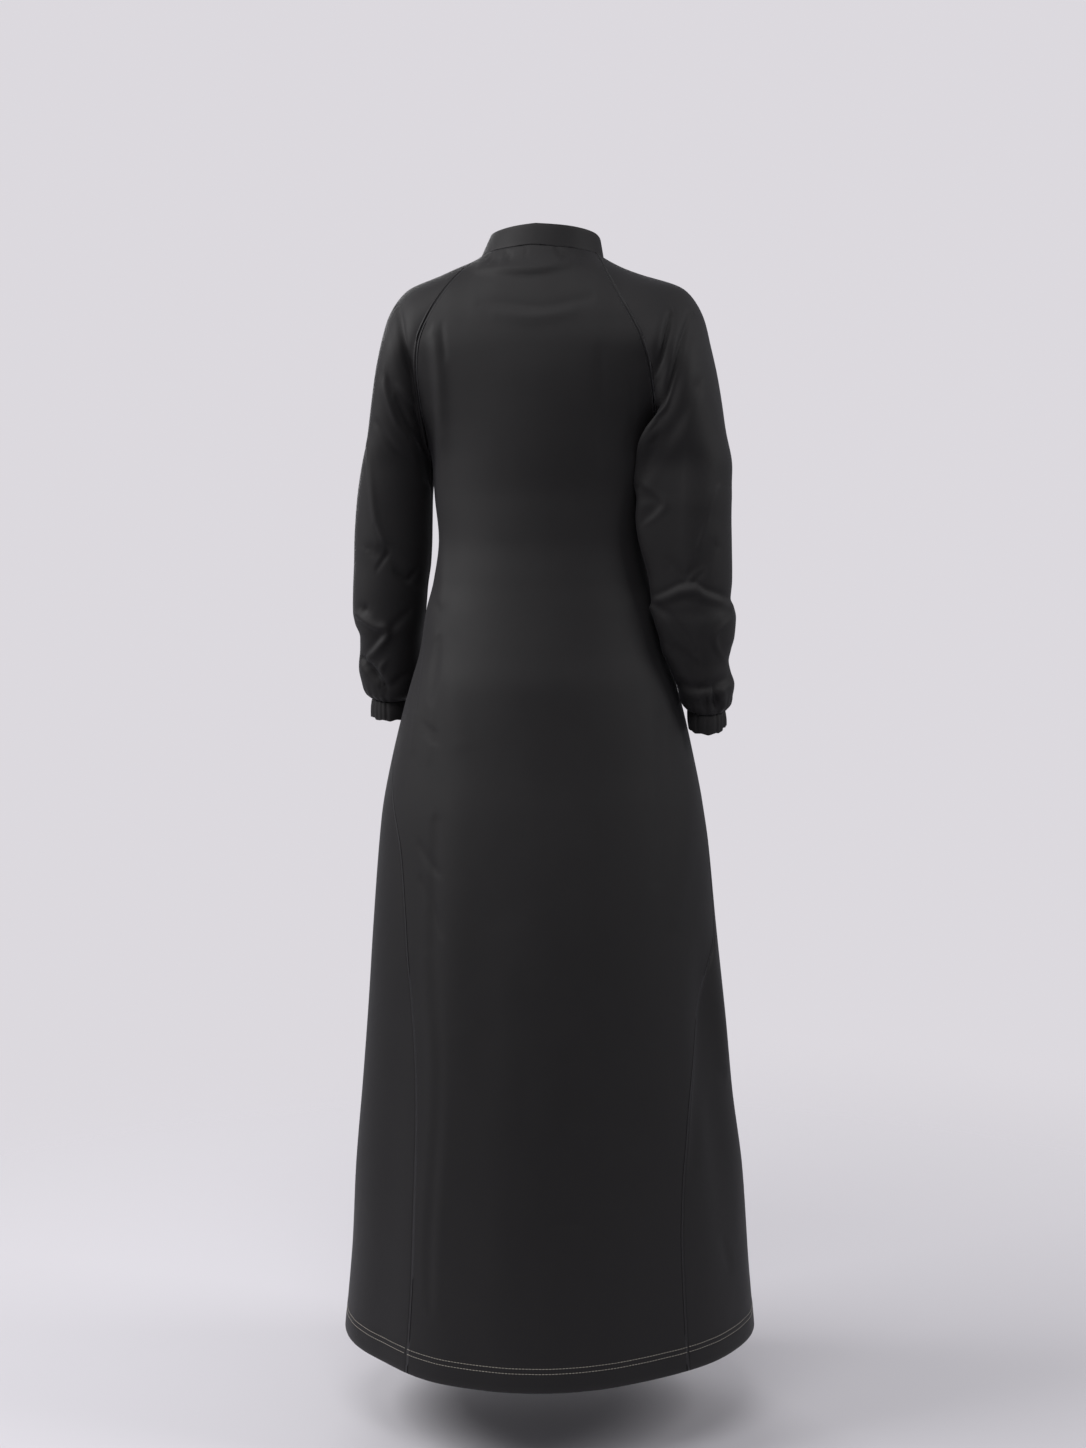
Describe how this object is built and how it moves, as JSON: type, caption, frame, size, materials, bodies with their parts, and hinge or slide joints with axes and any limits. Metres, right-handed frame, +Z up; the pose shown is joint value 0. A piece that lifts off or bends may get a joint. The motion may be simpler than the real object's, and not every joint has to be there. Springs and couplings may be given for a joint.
{
  "type": "full-length zip-front jilbab",
  "caption": "Full-length A-line over-garment, worn and held by its collar, with raglan sleeves gathered into elastic cuffs, a stand collar and a front zip with a hinged pull.",
  "frame": {"origin": "middle of the neck at the height of the collar's back seam", "axes": "+Z up, +Y towards the garment's back, +X towards the wearer's left"},
  "size_m": [0.5524, 0.4586, 1.4563],
  "materials": {
    "gabardine": "matt black smooth twill, softly creased from wear",
    "gathered_gabardine": "the same black twill, gathered on elastic",
    "doubled_gabardine": "the same black twill, two layers turned and pressed",
    "zip_tape_and_teeth": "black woven tape with closed black coil teeth",
    "dark_metal": "black-lacquered metal, worn smooth at the edges"
  },
  "bodies": {
    "garment": {"back": "gabardine", "front_left": "gabardine", "front_right": "gabardine", "sleeve_left": "gabardine", "sleeve_right": "gabardine", "cuff_left": "gathered_gabardine", "cuff_right": "gathered_gabardine", "collar": "doubled_gabardine", "zip": "zip_tape_and_teeth", "zip_slider": "dark_metal"},
    "pull": {"zip_pull": "dark_metal"}
  },
  "joints": [
    {"name": "pull_swing", "type": "hinge", "parent": "garment", "child": "pull", "pos_m": [-0.01097, -0.07258, -0.03701], "axis": [-0.9796, 0.1759, -0.0975], "range_deg": [0, 150]}
  ]
}
